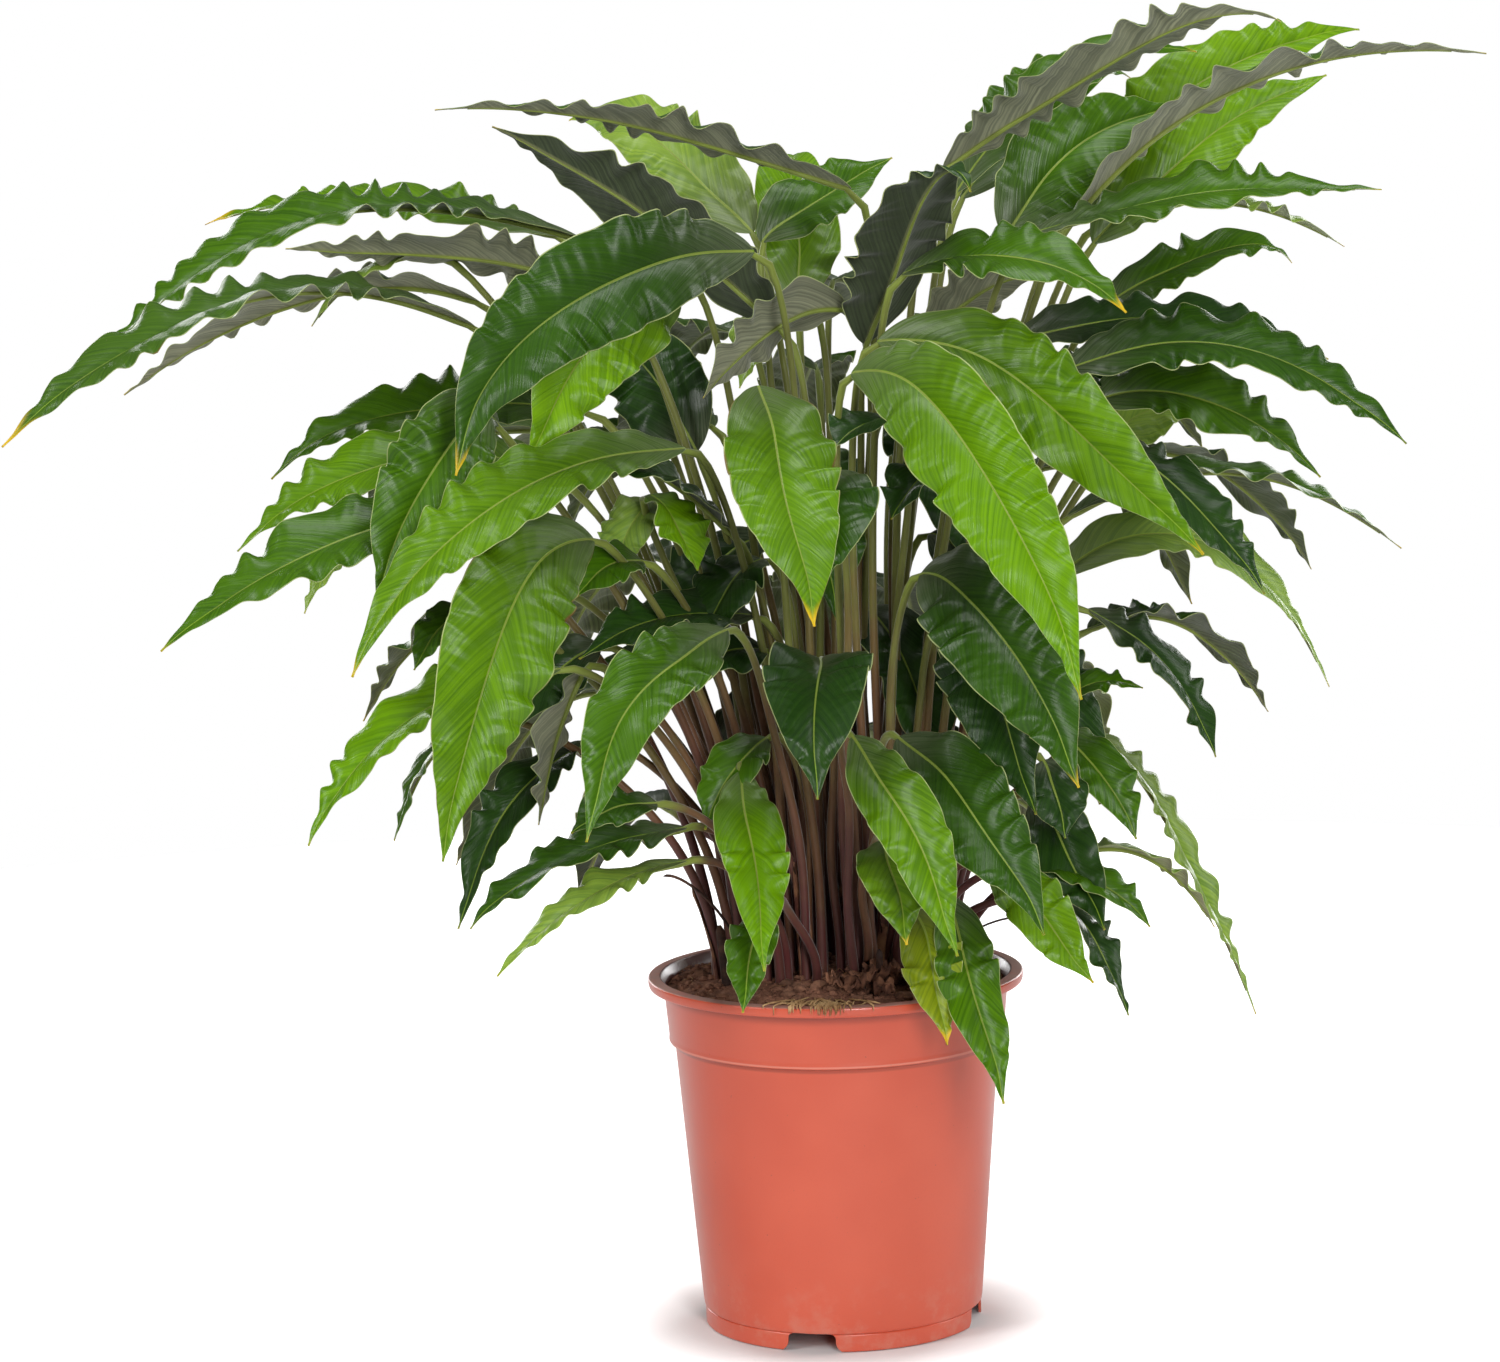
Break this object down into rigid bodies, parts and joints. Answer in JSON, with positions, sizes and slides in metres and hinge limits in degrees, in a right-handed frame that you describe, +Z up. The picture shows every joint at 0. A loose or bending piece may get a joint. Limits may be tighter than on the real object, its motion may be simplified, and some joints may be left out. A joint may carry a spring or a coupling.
{
  "type": "potted calathea plant",
  "caption": "Bushy calathea with long wavy-edged leaves on maroon stalks, growing in a round terracotta plastic nursery pot with soil.",
  "frame": {"origin": "on the floor under the middle of the whole plant's footprint; the pot's own axis is 40 mm towards +X and 20 mm towards -Y from it", "axes": "+Z up, -Y towards the front, +X along the plant's wider spread"},
  "size_m": [0.8105, 0.481, 0.7299],
  "materials": {
    "pot_plastic": "satin terracotta-coloured polypropylene",
    "peat": null,
    "leaf": "glossy green upper side, dull grey-green underside, maroon to olive stalk"
  },
  "bodies": {
    "root": {"back_leaf_01": "leaf", "back_leaf_02": "leaf", "back_leaf_03": "leaf", "back_leaf_04": "leaf", "back_leaf_05": "leaf", "front_leaf_01": "leaf", "front_leaf_02": "leaf", "front_leaf_03": "leaf", "front_leaf_04": "leaf", "front_leaf_05": "leaf", "front_leaf_06": "leaf", "front_leaf_07": "leaf", "front_leaf_08": "leaf", "front_leaf_09": "leaf", "front_leaf_10": "leaf", "front_leaf_11": "leaf", "left_leaf_01": "leaf", "left_leaf_02": "leaf", "left_leaf_03": "leaf", "left_leaf_04": "leaf", "left_leaf_05": "leaf", "left_leaf_06": "leaf", "left_leaf_07": "leaf", "left_leaf_08": "leaf", "left_leaf_09": "leaf", "left_leaf_10": "leaf", "left_leaf_11": "leaf", "left_leaf_12": "leaf", "left_leaf_13": "leaf", "low_leaf_01": "leaf", "low_leaf_02": "leaf", "low_leaf_03": "leaf", "low_leaf_04": "leaf", "low_leaf_05": "leaf", "low_leaf_06": "leaf", "low_leaf_07": "leaf", "low_leaf_08": "leaf", "pot": "pot_plastic", "right_leaf_01": "leaf", "right_leaf_02": "leaf", "right_leaf_03": "leaf", "right_leaf_04": "leaf", "right_leaf_05": "leaf", "right_leaf_06": "leaf", "right_leaf_07": "leaf", "right_leaf_08": "leaf", "right_leaf_09": "leaf", "right_leaf_10": "leaf", "right_leaf_11": "leaf", "right_leaf_12": "leaf", "right_leaf_13": "leaf", "soil": "peat", "top_leaf_01": "leaf", "top_leaf_02": "leaf", "top_leaf_03": "leaf", "top_leaf_04": "leaf", "top_leaf_05": "leaf", "top_leaf_06": "leaf", "top_leaf_07": "leaf", "top_leaf_08": "leaf"}
  },
  "joints": []
}
